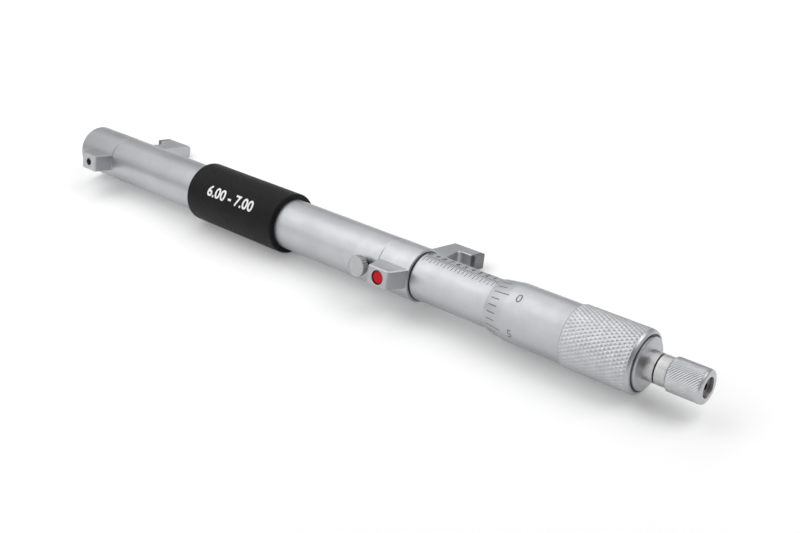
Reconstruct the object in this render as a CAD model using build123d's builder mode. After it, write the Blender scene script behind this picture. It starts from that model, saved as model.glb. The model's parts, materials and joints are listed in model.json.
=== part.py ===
from build123d import *
import math
import os

# Inside micrometer of the jaw type with a tubular frame, 152.4 to 177.8 mm (6 to 7 inches).
# It is drawn with its axis along +X, the ratchet to the right, the hooks behind (+Y) and the
# screw bosses in front (-Y). X = 0 is the seam between the frame tube and the right jaw.
# At the end every piece is rolled and lifted together, to lie on the grip and the hooks.

# Measuring range and thread
measuring_min = 152.4
travel = 25.4

# Fits, as gaps on the radius, and gaps between faces
static_fit = 0.02
running_fit = 0.04
face_gap = 0.1
stop_gap = 0.6

# Frame tube
tube_diameter = 16.0
tube_bore = 11.0
tube_edge = 0.12

# Grip band
grip_wall = 1.75
grip_length = 40.2
grip_from_jaw = 43.1
grip_round = 0.6

# Both jaws: round body, hook behind, screw boss in front
collar_rise = 0.05
collar_length = 11.5
collar_edge = 0.15
cap_length = 18.1
cap_edge = 0.9
contact_overhang = 1.1
jaw_thickness = 4.5
finger_outer = 28.4
finger_width = 5.7
finger_bevel = 0.7
hook_edge = 0.2
arm_inset = 0.8
arm_root_width = 8.8
arm_tip_width = 5.5
arm_round = 1.4
tip_length = 1.6
tip_crown_radius = 30.0
tip_bevel = 1.0
right_boss_centre = 5.75
left_boss_centre = 4.4
boss_front = 14.2
boss_face_width = 7.6
boss_height = 5.7
boss_slant = 1.7
boss_rise = 0.3
boss_bevel = 0.3
right_screw_diameter = 3.0
left_screw_diameter = 2.5
left_screw_length = 3.6
screw_socket = 1.3
screw_socket_depth = 1.2
seal_diameter = 4.2
seal_depth = 1.2
seal_sunk = 0.3
seal_edge = 0.3

# Thumb lock screw and its pad
lock_from_jaw = 4.6
lock_stem_diameter = 2.4
lock_hole_diameter = 3.4
lock_head_diameter = 6.3
lock_head_thickness = 2.3
lock_head_front = 12.0
lock_head_bevel = 0.3
lock_grooves = 24
lock_groove_size = 0.3
groove_turn = 180
lock_pad_thickness = 1.2

# Slide rod with its bushes and key
rod_diameter = 8.0
rod_edge = 0.4
rod_in_cap = 13.5
rod_past_jaw = 32.0
bush_length = 12.0
key_body_diameter = 3.0
key_nose_diameter = 2.0
key_depth = 1.2
key_spare = 0.3
key_end_room = 2.0

# Guide barrel, which joins the tube, the right jaw and the sleeve
barrel_in_tube = 14.0
barrel_shoulder_diameter = 13.0
barrel_in_sleeve = 8.5

# Graduated sleeve and the dark ring in front of it
sleeve_diameter = 14.3
sleeve_bore = 12.0
sleeve_edge = 0.2
ring_width = 0.3
ring_diameter = 14.8

# Thimble
thimble_from_jaw = 38.4
thimble_bore = 14.6
thimble_lip = 0.25
thimble_bevel_length = 6.0
thimble_diameter = 16.85
thimble_plain_length = 19.0
knurl_diameter = 17.75
knurl_length = 19.3
knurl_edge = 0.3
thimble_round_length = 1.5
thimble_mouth_diameter = 15.6
thimble_wall = 2.4
mouth_depth = 0.9

# Spindle and its swivel in the rod's end
spindle_diameter = 5.0
thread_diameter = 7.0
thread_runout = 1.0
flange_diameter = 9.0
flange_thickness = 1.0
seat_diameter = 8.0
stud_length = 4.4
stud_hole_depth = 4.0
swivel_bore = 6.4
swivel_depth = 6.5
swivel_pin_diameter = 3.0
swivel_ball_diameter = 3.0
swivel_collar_thickness = 1.8
retainer_length = 1.7

# Spindle nut with its split end, and the adjusting nut
nut_length = 20.6
split_length = 6.6
split_diameter = 11.2
split_slots = 3
split_width = 0.8
adjusting_diameter = 13.6
adjusting_length = 5.4
adjusting_notches = 4
adjusting_notch = 1.4

# Thimble's end cap and the ring round it
cap_diameter = 14.5
cap_thickness = 2.0
cap_rim = 1.5
cap_slope = 0.3
cap_ring_thickness = 0.7
cap_ring_diameter = 15.5

# Ratchet
neck_diameter = 8.15
neck_length = 2.8
neck_ring_diameter = 7.5
neck_ring_width = 0.3
hub_diameter = 6.4
hub_length = 0.9
tooth_count = 12
tooth_width = 0.66
tooth_height = 0.5
tooth_gap = 0.05
tooth_play = 0.12
tooth_inner = 1.9
tooth_outer = 2.9
ratchet_bore = 6.8
ratchet_screw_diameter = 2.9
knob_plain_length = 3.0
knob_diameter = 9.3
knob_length = 12.9
knob_bevel = 0.5
knob_end_bevel = 1.0
knob_end_wall = 1.8
knob_recess_diameter = 5.6
knob_recess_depth = 2.0
pawl_thickness = 2.0
spring_wire = 0.5
spring_turns = 3.5
screw_head_thickness = 1.1
screw_slot_width = 1.6
screw_slot_depth = 0.6

# Rounded edges of turned pieces are drawn in this many straight steps, to keep the facets few
round_steps = 4

# Sizes that follow from the fits between the pieces
grip_diameter = tube_diameter + 2 * grip_wall
collar_diameter = tube_diameter + 2 * collar_rise
contact_reach = collar_length + contact_overhang

# Places along the axis that follow from the sizes above
left_seam = -(measuring_min - 2 * contact_reach)
finger_inner = finger_outer - finger_width
finger_end = contact_reach - tip_length
grip_right = -grip_from_jaw
grip_left = grip_right - grip_length
lock_x = -lock_from_jaw
key_x = (grip_left + grip_right) / 2
rod_left = left_seam - rod_in_cap
tube_left = left_seam + face_gap
ring_left = collar_length
sleeve_left = ring_left + ring_width
thimble_left = thimble_from_jaw
bevel_end = thimble_left + thimble_bevel_length
knurl_left = bevel_end + thimble_plain_length
knurl_right = knurl_left + knurl_length
thimble_right = knurl_right + thimble_round_length
mouth_floor = thimble_right - mouth_depth
cavity_end = mouth_floor - thimble_wall
flange_left = cavity_end - flange_thickness
nut_right = flange_left - travel - stop_gap
nut_left = nut_right - nut_length
sleeve_right = nut_right - split_length
swivel_left = rod_past_jaw - swivel_depth
collar_right = rod_past_jaw - retainer_length - running_fit
collar_left = collar_right - swivel_collar_thickness
cap_right = mouth_floor + cap_thickness
stud_right = mouth_floor + stud_length
neck_right = cap_right + neck_length
hub_face = neck_right + hub_length
knob_left = neck_right + neck_ring_width + face_gap
knob_right = knob_left + knob_length
recess_floor = knob_right - knob_recess_depth
knob_bore_end = recess_floor - knob_end_wall
pawl_left = hub_face + tooth_gap
pawl_right = pawl_left + pawl_thickness
groove_bottom = rod_diameter / 2 - key_depth - key_spare


def half_section(points):
    """A face on the XY plane through the points (place along the axis, radius)."""
    with BuildSketch() as section:
        with BuildLine():
            Polyline(*points, close=True)
        make_face()
    return section.sketch


def tube_section(left, right, inner, outer, edge=0.0):
    """The half section of a plain ring or tube, with bevelled outer edges."""
    if edge == 0:
        return half_section([(left, inner), (left, outer), (right, outer), (right, inner)])
    return half_section([
        (left, inner), (left, outer - edge), (left + edge, outer),
        (right - edge, outer), (right, outer - edge), (right, inner),
    ])


def tooth_planes(face):
    """Planes that look outwards along each ratchet tooth, at its inner end."""
    planes = []
    for tooth in range(tooth_count):
        angle = math.tau * tooth / tooth_count
        outwards = Vector(0, math.cos(angle), math.sin(angle))
        around = Vector(0, -math.sin(angle), math.cos(angle))
        start = Vector(face, 0, 0) + outwards * tooth_inner
        planes.append(Plane(origin=start, x_dir=around, z_dir=outwards))
    return planes


def quarter_round(place, radius, length, drop):
    """Points of a quarter round that runs length along the axis and falls by drop."""
    points = []
    for step in range(round_steps + 1):
        angle = math.pi / 2 * step / round_steps
        points.append((place + length * math.sin(angle), radius - drop + drop * math.cos(angle)))
    return points


def make_jaw(seam, side, body, bore, boss_centre, screw_radius, seat_depth):
    """A jaw that faces away from its seam. side is 1 to the right and -1 to the left.
    body is the length and edge of the round part, bore is the radius and depth of its hole.
    seat_depth is the depth of the counterbore for a lacquer seal, or 0 for a plain hole."""

    def at(distance):
        return seam + side * distance

    body_length, body_edge = body
    bore_radius, bore_depth = bore
    body_radius = collar_diameter / 2
    boss_root = math.sqrt(body_radius**2 - (boss_height / 2 + boss_rise) ** 2)
    boss_near = boss_centre - boss_face_width / 2
    boss_far = boss_centre + boss_face_width / 2
    screw_place = (at(boss_centre), side * boss_rise)
    round_body = half_section([
        (at(0), 0), (at(0), body_radius - collar_edge), (at(collar_edge), body_radius),
        *quarter_round(at(body_length - body_edge), body_radius, side * body_edge, body_edge),
        (at(body_length), 0),
    ])
    with BuildPart() as hook:
        with BuildSketch() as outline:
            with BuildLine():
                Polyline(
                    (at(arm_inset), 0),
                    (at(arm_inset), finger_outer),
                    (at(finger_end), finger_outer),
                    (at(finger_end), finger_inner),
                    (at(arm_inset + arm_tip_width), finger_inner),
                    (at(arm_inset + arm_root_width), boss_root),
                    (at(arm_inset + arm_root_width), 0),
                    close=True,
                )
            make_face()
            inner_corner = (at(arm_inset + arm_tip_width), finger_inner, 0)
            fillet(outline.vertices().sort_by_distance(inner_corner)[0], arm_round)
        extrude(amount=jaw_thickness / 2, both=True)
        finger_edges = [
            edge for edge in hook.edges().filter_by(Axis.X)
            if edge.center().Y > finger_outer - face_gap
        ]
        chamfer(finger_edges, finger_bevel)
        inner_edges = [
            edge for edge in hook.edges()
            if abs(edge.center().Z) > jaw_thickness / 2 - face_gap
            and arm_inset + face_gap < side * (edge.center().X - seam) < finger_end - face_gap
            and boss_root < edge.center().Y < finger_inner + face_gap
        ]
        chamfer(inner_edges, hook_edge)
    with BuildPart() as boss:
        with BuildSketch(Plane.XY.offset(side * boss_rise)):
            with BuildLine():
                Polyline(
                    (at(max(collar_edge, boss_near - boss_slant)), 0),
                    (at(max(collar_edge, boss_near - boss_slant)), -boss_root),
                    (at(boss_near), -boss_front),
                    (at(boss_far), -boss_front),
                    (at(boss_far + boss_slant), -boss_root),
                    (at(boss_far + boss_slant), 0),
                    close=True,
                )
            make_face()
        extrude(amount=boss_height / 2, both=True)
        boss_edges = [edge for edge in boss.edges() if edge.center().Y < -boss_root - face_gap]
        chamfer(boss_edges, boss_bevel)
    with BuildPart() as jaw:
        revolve(round_body, axis=Axis.X)
        add(hook.part)
        add(boss.part)
        with BuildSketch(Plane.YZ.offset(at(0))):
            Circle(bore_radius)
        extrude(amount=side * bore_depth, mode=Mode.SUBTRACT)
        with BuildSketch(Plane.XZ.offset(boss_front)):
            with Locations(screw_place):
                Circle(screw_radius + static_fit)
        extrude(amount=-boss_front, mode=Mode.SUBTRACT)
        if seat_depth > 0:
            with BuildSketch(Plane.XZ.offset(boss_front)):
                with Locations(screw_place):
                    Circle(seal_diameter / 2 + static_fit)
            extrude(amount=-seat_depth, mode=Mode.SUBTRACT)
    return jaw


def make_contact_tip(seam, side):
    """The hard insert at the end of a finger, with a crowned measuring face."""
    half = jaw_thickness / 2
    crown = tip_crown_radius - math.sqrt(tip_crown_radius**2 - half**2)
    root = seam + side * finger_end
    face = seam + side * contact_reach
    with BuildPart() as tip:
        with BuildSketch(Plane.XZ.offset(-finger_outer)):
            with BuildLine():
                Polyline((face - side * crown, -half), (root, -half), (root, half),
                         (face - side * crown, half))
                ThreePointArc((face - side * crown, half), (face, 0), (face - side * crown, -half))
            make_face()
        extrude(amount=finger_width)
        outer_edges = [
            edge for edge in tip.edges().filter_by(Axis.X)
            if edge.center().Y > finger_outer - face_gap
        ]
        chamfer(outer_edges, finger_bevel)
        with BuildSketch():
            with BuildLine():
                Polyline(
                    (face, finger_outer - tip_bevel), (face, finger_outer),
                    (face - side * tip_bevel, finger_outer), close=True,
                )
            make_face()
        extrude(amount=jaw_thickness, both=True, mode=Mode.SUBTRACT)
    return tip


def make_set_screw(x, z, inner, outer, radius):
    """A socket set screw in a boss at (x, z), from inner to outer in front of the axis."""
    with BuildPart() as screw:
        with BuildSketch(Plane.XZ.offset(inner)):
            with Locations((x, z)):
                Circle(radius)
        extrude(amount=outer - inner)
        with BuildSketch(Plane.XZ.offset(outer)):
            with Locations((x, z)):
                RegularPolygon(screw_socket / 2, 6, major_radius=False)
        extrude(amount=-screw_socket_depth, mode=Mode.SUBTRACT)
    return screw


# Frame tube, with the hole for the lock screw in front and for the key below
with BuildPart() as frame_tube:
    revolve(tube_section(tube_left, 0, tube_bore / 2, tube_diameter / 2, tube_edge), axis=Axis.X)
    with BuildSketch(Plane.XZ.offset(tube_diameter)):
        with Locations((lock_x, 0)):
            Circle(lock_hole_diameter / 2)
    extrude(amount=-tube_diameter, mode=Mode.SUBTRACT)
    with BuildSketch(Plane.XY.offset(-tube_diameter)):
        with Locations((key_x, 0)):
            Circle(key_body_diameter / 2 + static_fit)
    extrude(amount=tube_diameter, mode=Mode.SUBTRACT)

# Grip band with rounded ends
grip_outline = half_section([
    (grip_right, tube_diameter / 2 + static_fit), (grip_left, tube_diameter / 2 + static_fit),
    *reversed(quarter_round(grip_left + grip_round, grip_diameter / 2, -grip_round, grip_round)),
    *quarter_round(grip_right - grip_round, grip_diameter / 2, grip_round, grip_round),
])
with BuildPart() as grip_band:
    revolve(grip_outline, axis=Axis.X)

# Front bush, in the tube's left end
with BuildPart() as front_bush:
    revolve(
        tube_section(
            tube_left, tube_left + bush_length,
            rod_diameter / 2 + running_fit, tube_bore / 2 - static_fit, tube_edge,
        ),
        axis=Axis.X,
    )

# Guide barrel: in the tube, through the right jaw and into the sleeve
barrel_bore = rod_diameter / 2 + running_fit
barrel_right = collar_length + barrel_in_sleeve
barrel_outline = half_section([
    (-barrel_in_tube, barrel_bore), (-barrel_in_tube, tube_bore / 2 - static_fit),
    (0, tube_bore / 2 - static_fit), (0, barrel_shoulder_diameter / 2),
    (collar_length, barrel_shoulder_diameter / 2), (collar_length, sleeve_bore / 2 - static_fit),
    (barrel_right, sleeve_bore / 2 - static_fit), (barrel_right, barrel_bore),
])
with BuildPart() as guide_barrel:
    revolve(barrel_outline, axis=Axis.X)
    with BuildSketch(Plane.XZ.offset(tube_diameter)):
        with Locations((lock_x, 0)):
            Circle(lock_stem_diameter / 2 + running_fit)
    extrude(amount=-tube_diameter, mode=Mode.SUBTRACT)

# Guide key: a dog point screw under the grip, with its nose in the rod's groove
key_top = tube_diameter / 2 - tube_edge
key_shoulder = tube_bore / 2
key_tip = groove_bottom + key_spare
with BuildPart() as guide_key:
    with BuildSketch(Plane.XY.offset(-key_top)):
        with Locations((key_x, 0)):
            Circle(key_body_diameter / 2)
    extrude(amount=key_top - key_shoulder)
    with BuildSketch(Plane.XY.offset(-key_shoulder)):
        with Locations((key_x, 0)):
            Circle(key_nose_diameter / 2)
    extrude(amount=key_shoulder - key_tip)

# Right jaw on the barrel, with the sealed screw in its boss
right_jaw = make_jaw(
    0, 1, (collar_length, collar_edge), (barrel_shoulder_diameter / 2 + static_fit, collar_length),
    right_boss_centre, right_screw_diameter / 2, seal_depth + seal_sunk,
)
right_contact_tip = make_contact_tip(0, 1)
right_jaw_screw = make_set_screw(
    right_boss_centre, boss_rise, barrel_shoulder_diameter / 2 + static_fit,
    boss_front - seal_depth - seal_sunk, right_screw_diameter / 2,
)

# Lacquer seal: a disc that fills the counterbore over the screw
seal_floor = boss_front - seal_sunk - seal_depth
with BuildPart() as red_seal:
    with BuildSketch(Plane.XZ.offset(seal_floor)):
        with Locations((right_boss_centre, boss_rise)):
            Circle(seal_diameter / 2)
    extrude(amount=seal_depth)
    chamfer(red_seal.faces().sort_by(Axis.Y)[0].edges(), seal_edge)

# Dark ring between the right jaw and the sleeve
with BuildPart() as sleeve_ring:
    revolve(
        tube_section(ring_left, sleeve_left, sleeve_bore / 2, ring_diameter / 2),
        axis=Axis.X,
    )

# Graduated sleeve
with BuildPart() as graduated_sleeve:
    revolve(
        tube_section(sleeve_left, sleeve_right, sleeve_bore / 2, sleeve_diameter / 2, sleeve_edge),
        axis=Axis.X,
    )

# Spindle nut: plain in the sleeve, with a split end for taking up play
nut_outline = half_section([
    (nut_left, thread_diameter / 2 + running_fit), (nut_left, sleeve_bore / 2 - static_fit),
    (sleeve_right, sleeve_bore / 2 - static_fit), (sleeve_right, split_diameter / 2),
    (nut_right, split_diameter / 2), (nut_right, thread_diameter / 2 + running_fit),
])
with BuildPart() as spindle_nut:
    revolve(nut_outline, axis=Axis.X)
    with BuildSketch(Plane.YZ.offset(nut_right)):
        with PolarLocations(split_diameter / 2, split_slots):
            Rectangle(split_diameter / 2, split_width)
    extrude(amount=-split_length, mode=Mode.SUBTRACT)

# Adjusting nut on the split end, with spanner notches
adjusting_left = nut_right - (split_length + adjusting_length) / 2
adjusting_right = adjusting_left + adjusting_length
with BuildPart() as adjusting_nut:
    revolve(
        tube_section(
            adjusting_left, adjusting_right,
            split_diameter / 2 + static_fit, adjusting_diameter / 2, tube_edge,
        ),
        axis=Axis.X,
    )
    with BuildSketch(Plane.YZ.offset(adjusting_right)):
        with PolarLocations(adjusting_diameter / 2, adjusting_notches):
            Rectangle(adjusting_notch, adjusting_notch)
    extrude(amount=-adjusting_notch, mode=Mode.SUBTRACT)

# Left jaw: an end cap that the slide rod carries
left_jaw = make_jaw(
    left_seam, -1, (cap_length, cap_edge), (rod_diameter / 2 + static_fit, rod_in_cap),
    left_boss_centre, left_screw_diameter / 2, 0,
)
left_contact_tip = make_contact_tip(left_seam, -1)
left_jaw_screw = make_set_screw(
    left_seam - left_boss_centre, -boss_rise, rod_diameter / 2 + static_fit,
    rod_diameter / 2 + static_fit + left_screw_length, left_screw_diameter / 2,
)

# Slide rod: keyway below, swivel socket for the spindle in its right end
rod_radius = rod_diameter / 2
swivel_cone = swivel_ball_diameter / 2
rod_outline = half_section([
    (rod_left, 0), (rod_left, rod_radius - rod_edge), (rod_left + rod_edge, rod_radius),
    (rod_past_jaw - rod_edge, rod_radius), (rod_past_jaw, rod_radius - rod_edge),
    (rod_past_jaw, swivel_bore / 2), (swivel_left, swivel_bore / 2),
    (swivel_left, swivel_cone), (swivel_left - swivel_cone, 0),
])
groove_left = key_x - key_nose_diameter / 2 - key_end_room
groove_right = key_x + travel + key_nose_diameter / 2 + key_end_room
with BuildPart() as slide_rod:
    revolve(rod_outline, axis=Axis.X)
    with BuildSketch(Plane.XY.offset(-rod_radius)):
        with Locations(((groove_left + groove_right) / 2, 0)):
            Rectangle(groove_right - groove_left, key_nose_diameter + 2 * running_fit)
    extrude(amount=rod_radius - groove_bottom, mode=Mode.SUBTRACT)

# Thrust ball between the rod's seat and the spindle
ball_centre = collar_left - face_gap - swivel_ball_diameter / 2
with BuildPart() as thrust_ball:
    with Locations((ball_centre, 0, 0)):
        Sphere(swivel_ball_diameter / 2)

# Swivel retainer, screwed into the rod's mouth round the spindle
with BuildPart() as swivel_retainer:
    revolve(
        tube_section(
            rod_past_jaw - retainer_length, rod_past_jaw,
            spindle_diameter / 2 + running_fit, swivel_bore / 2 - static_fit,
        ),
        axis=Axis.X,
    )

# Thrust collar, screwed on the spindle's tip behind the retainer
with BuildPart() as thrust_collar:
    revolve(
        tube_section(
            collar_left, collar_right,
            swivel_pin_diameter / 2 + static_fit, swivel_bore / 2 - running_fit,
        ),
        axis=Axis.X,
    )

# Spindle: tip, shank, thread, flange, seat for the thimble and stud for cap and ratchet
spindle_outline = half_section([
    (collar_left, 0), (collar_left, swivel_pin_diameter / 2),
    (collar_right, swivel_pin_diameter / 2), (collar_right, spindle_diameter / 2),
    (nut_left, spindle_diameter / 2), (nut_left + thread_runout, thread_diameter / 2),
    (flange_left, thread_diameter / 2), (flange_left, flange_diameter / 2),
    (cavity_end, flange_diameter / 2), (cavity_end, seat_diameter / 2),
    (mouth_floor, seat_diameter / 2), (mouth_floor, spindle_diameter / 2),
    (stud_right, spindle_diameter / 2), (stud_right, ratchet_screw_diameter / 2 + static_fit),
    (stud_right - stud_hole_depth, ratchet_screw_diameter / 2 + static_fit),
    (stud_right - stud_hole_depth, 0),
])
with BuildPart() as spindle:
    revolve(spindle_outline, axis=Axis.X)

# Thimble: bevelled front, plain barrel, band for the knurl, rounded end with a mouth
knurl_radius = knurl_diameter / 2
mouth_radius = thimble_mouth_diameter / 2
thimble_outline = half_section([
    (mouth_floor, mouth_radius), (mouth_floor, seat_diameter / 2 + static_fit),
    (cavity_end, seat_diameter / 2 + static_fit), (cavity_end, thimble_bore / 2),
    (thimble_left, thimble_bore / 2), (thimble_left, thimble_bore / 2 + thimble_lip),
    (bevel_end, thimble_diameter / 2), (knurl_left, thimble_diameter / 2),
    (knurl_left, knurl_radius - knurl_edge), (knurl_left + knurl_edge, knurl_radius),
    *quarter_round(knurl_right, knurl_radius, thimble_round_length, knurl_radius - mouth_radius),
])
with BuildPart() as thimble:
    revolve(thimble_outline, axis=Axis.X)

# Dark ring in the thimble's mouth
with BuildPart() as cap_ring:
    revolve(
        tube_section(
            mouth_floor, mouth_floor + cap_ring_thickness,
            cap_diameter / 2 + static_fit, cap_ring_diameter / 2,
        ),
        axis=Axis.X,
    )

# Thimble cap: the nut that clamps the thimble on the spindle's seat
cap_outline = half_section([
    (mouth_floor, spindle_diameter / 2 + static_fit), (mouth_floor, cap_diameter / 2),
    (mouth_floor + cap_rim, cap_diameter / 2), (cap_right - cap_slope, cap_diameter / 2 - cap_slope),
    (cap_right, neck_diameter / 2 + cap_slope), (cap_right, spindle_diameter / 2 + static_fit),
])
with BuildPart() as thimble_cap:
    revolve(cap_outline, axis=Axis.X)

# Ratchet base: the neck ring, with a ring of teeth on its hub
base_bore = spindle_diameter / 2 + static_fit
screw_clear = ratchet_screw_diameter / 2 + running_fit
base_outline = half_section([
    (cap_right, base_bore), (cap_right, neck_diameter / 2), (neck_right, neck_diameter / 2),
    (neck_right, hub_diameter / 2), (hub_face, hub_diameter / 2), (hub_face, screw_clear),
    (stud_right + face_gap, screw_clear), (stud_right + face_gap, base_bore),
])
with BuildPart() as ratchet_base:
    revolve(base_outline, axis=Axis.X)
    for tooth_plane in tooth_planes(hub_face):
        with BuildSketch(tooth_plane):
            with BuildLine():
                Polyline(
                    (-tooth_width / 2, -face_gap), (-tooth_width / 2, 0),
                    (tooth_width / 2, tooth_height), (tooth_width / 2, -face_gap),
                    close=True,
                )
            make_face()
    extrude(amount=tooth_outer - tooth_inner)

# Thin dark ring behind the neck
with BuildPart() as neck_ring:
    revolve(
        tube_section(
            neck_right, neck_right + neck_ring_width,
            hub_diameter / 2 + static_fit, neck_ring_diameter / 2,
        ),
        axis=Axis.X,
    )

# Ratchet knob: plain neck, band for the knurl, recess for the screw head
knob_radius = knob_diameter / 2
knob_band_left = knob_left + knob_plain_length
knob_outline = half_section([
    (knob_left, ratchet_bore / 2), (knob_left, neck_diameter / 2),
    (knob_band_left, neck_diameter / 2), (knob_band_left + knob_bevel, knob_radius),
    (knob_right - knob_end_bevel, knob_radius), (knob_right, knob_radius - knob_end_bevel),
    (knob_right, knob_recess_diameter / 2), (recess_floor, knob_recess_diameter / 2),
    (recess_floor, screw_clear), (knob_bore_end, screw_clear),
    (knob_bore_end, ratchet_bore / 2),
])
with BuildPart() as ratchet_knob:
    revolve(knob_outline, axis=Axis.X)

# Ratchet pawl: the toothed ring that the spring presses on the hub's teeth
with BuildPart() as ratchet_pawl:
    revolve(
        tube_section(
            pawl_left, pawl_right, screw_clear + running_fit, ratchet_bore / 2 - running_fit
        ),
        axis=Axis.X,
    )
    for tooth_plane in tooth_planes(hub_face):
        with BuildSketch(tooth_plane):
            with BuildLine():
                Polyline(
                    (-tooth_width / 2 - tooth_gap, 0),
                    (-tooth_width / 2 - tooth_gap, tooth_play),
                    (tooth_width / 2 + tooth_gap, tooth_height + tooth_play),
                    (tooth_width / 2 + tooth_gap, 0),
                    close=True,
                )
            make_face()
    extrude(amount=tooth_outer - tooth_inner + 2 * tooth_gap, mode=Mode.SUBTRACT)

# Ratchet spring between the pawl and the knob's end wall
spring_room = knob_bore_end - pawl_right - spring_wire - 2 * face_gap
spring_radius = ratchet_bore / 2 - spring_wire
with BuildPart() as ratchet_spring:
    with BuildLine() as spring_path:
        Helix(
            pitch=spring_room / spring_turns, height=spring_room, radius=spring_radius,
            center=(pawl_right + face_gap + spring_wire / 2, 0, 0), direction=(1, 0, 0),
        )
    with BuildSketch(Plane(origin=spring_path.line @ 0, z_dir=spring_path.line % 0)):
        RegularPolygon(spring_wire / 2, 6)
    sweep()

# Ratchet screw, through the knob into the spindle's stud
screw_end = stud_right - stud_hole_depth + face_gap
head_left = recess_floor + face_gap
screw_outline = half_section([
    (screw_end, 0), (screw_end, ratchet_screw_diameter / 2),
    (head_left, ratchet_screw_diameter / 2), (head_left, knob_recess_diameter / 2 - face_gap),
    (head_left + screw_head_thickness, knob_recess_diameter / 2 - face_gap),
    (head_left + screw_head_thickness, 0),
])
with BuildPart() as ratchet_screw:
    revolve(screw_outline, axis=Axis.X)
    with BuildSketch(Plane.YZ.offset(head_left + screw_head_thickness)):
        RegularPolygon(screw_slot_width / 2, 6, major_radius=False)
    extrude(amount=-screw_slot_depth, mode=Mode.SUBTRACT)

# Brass pad that the lock screw presses on the rod
pad_inner = rod_diameter / 2 + running_fit
pad_outer = pad_inner + lock_pad_thickness
with BuildPart() as lock_pad:
    with BuildSketch(Plane.XZ.offset(pad_inner)):
        with Locations((lock_x, 0)):
            Circle(lock_stem_diameter / 2 - static_fit)
    extrude(amount=lock_pad_thickness)

# Thumb lock screw with a grooved round head
head_base = lock_head_front - lock_head_thickness
with BuildPart() as lock_screw:
    with BuildSketch(Plane.XZ.offset(head_base)):
        with Locations((lock_x, 0)):
            Circle(lock_head_diameter / 2)
    extrude(amount=lock_head_thickness)
    chamfer(lock_screw.edges().filter_by(GeomType.CIRCLE), lock_head_bevel)
    with BuildSketch(Plane.XZ.offset(head_base)):
        with Locations((lock_x, 0)):
            with PolarLocations(lock_head_diameter / 2, lock_grooves):
                RegularPolygon(lock_groove_size, 3, rotation=groove_turn)
    extrude(amount=lock_head_thickness, mode=Mode.SUBTRACT)
    with BuildSketch(Plane.XZ.offset(pad_outer + face_gap)):
        with Locations((lock_x, 0)):
            Circle(lock_stem_diameter / 2)
    extrude(amount=head_base - pad_outer - face_gap)

pieces = {
    "frame_tube": frame_tube,
    "grip_band": grip_band,
    "front_bush": front_bush,
    "guide_barrel": guide_barrel,
    "guide_key": guide_key,
    "right_jaw": right_jaw,
    "right_contact_tip": right_contact_tip,
    "right_jaw_screw": right_jaw_screw,
    "red_seal": red_seal,
    "sleeve_ring": sleeve_ring,
    "graduated_sleeve": graduated_sleeve,
    "spindle_nut": spindle_nut,
    "adjusting_nut": adjusting_nut,
    "lock_pad": lock_pad,
    "left_jaw": left_jaw,
    "left_contact_tip": left_contact_tip,
    "left_jaw_screw": left_jaw_screw,
    "slide_rod": slide_rod,
    "thrust_ball": thrust_ball,
    "swivel_retainer": swivel_retainer,
    "thrust_collar": thrust_collar,
    "spindle": spindle,
    "thimble": thimble,
    "cap_ring": cap_ring,
    "thimble_cap": thimble_cap,
    "ratchet_base": ratchet_base,
    "neck_ring": neck_ring,
    "ratchet_screw": ratchet_screw,
    "ratchet_knob": ratchet_knob,
    "ratchet_pawl": ratchet_pawl,
    "ratchet_spring": ratchet_spring,
    "lock_screw": lock_screw,
}

def roll_to_touch(y, z):
    """The roll about the axis at which the point (y, -z) is as low as the grip, in degrees."""
    return math.degrees(math.asin(grip_diameter / 2 / math.hypot(y, z)) - math.atan2(z, y))


# The bevel on a hook's lower outer edge has two corners, and the first to touch sets the roll
roll = min(
    roll_to_touch(finger_outer, jaw_thickness / 2 - finger_bevel),
    roll_to_touch(finger_outer - finger_bevel, jaw_thickness / 2),
)
lying = Location((0, 0, grip_diameter / 2), (-roll, 0, 0))
resting = {name: piece.part.moved(lying) for name, piece in pieces.items()}

# The origin goes below the middle of the whole object
whole = Compound(list(resting.values())).bounding_box()
centring = Location((-whole.center().X, -whole.center().Y, 0))

os.makedirs("parts", exist_ok=True)
for name, part in resting.items():
    placed = part.moved(centring)
    placed.label = name
    export_step(placed, f"parts/{name}.step")

print("roll in degrees", roll)
print("seam between tube and right jaw at", centring.position.X, centring.position.Y)
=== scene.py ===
import json
import math

import bmesh
import bpy
from mathutils import Matrix, Vector


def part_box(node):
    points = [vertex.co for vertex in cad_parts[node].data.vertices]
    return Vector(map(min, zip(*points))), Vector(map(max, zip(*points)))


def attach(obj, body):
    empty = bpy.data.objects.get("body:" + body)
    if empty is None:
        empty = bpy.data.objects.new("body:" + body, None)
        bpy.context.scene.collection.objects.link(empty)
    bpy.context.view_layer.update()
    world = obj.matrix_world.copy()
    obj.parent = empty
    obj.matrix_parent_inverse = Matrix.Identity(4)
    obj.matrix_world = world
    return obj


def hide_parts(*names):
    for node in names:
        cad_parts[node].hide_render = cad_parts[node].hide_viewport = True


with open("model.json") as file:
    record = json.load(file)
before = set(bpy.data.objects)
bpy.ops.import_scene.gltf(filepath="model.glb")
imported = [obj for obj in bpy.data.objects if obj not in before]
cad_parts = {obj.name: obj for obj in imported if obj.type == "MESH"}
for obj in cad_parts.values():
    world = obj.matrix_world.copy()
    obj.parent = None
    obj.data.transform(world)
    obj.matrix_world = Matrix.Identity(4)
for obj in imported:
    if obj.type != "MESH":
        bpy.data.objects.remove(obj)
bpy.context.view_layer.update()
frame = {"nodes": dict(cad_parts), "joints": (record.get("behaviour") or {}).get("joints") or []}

# The instrument's own frame: X along its axis from the seam between the frame tube and the
# right jaw, Y from the screw bosses to the hooks, Z up. Sizes in it are in millimetres, and an
# angle round the axis is 0 at the front (-Y) and rises towards Z.
MM = 0.001
joints = {joint["name"]: joint for joint in frame["joints"]}
axis_point = Vector(joints["thimble_turn"]["pos_m"])
to_hooks = Vector(joints["lock_turn"]["axis"]).normalized()
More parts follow.
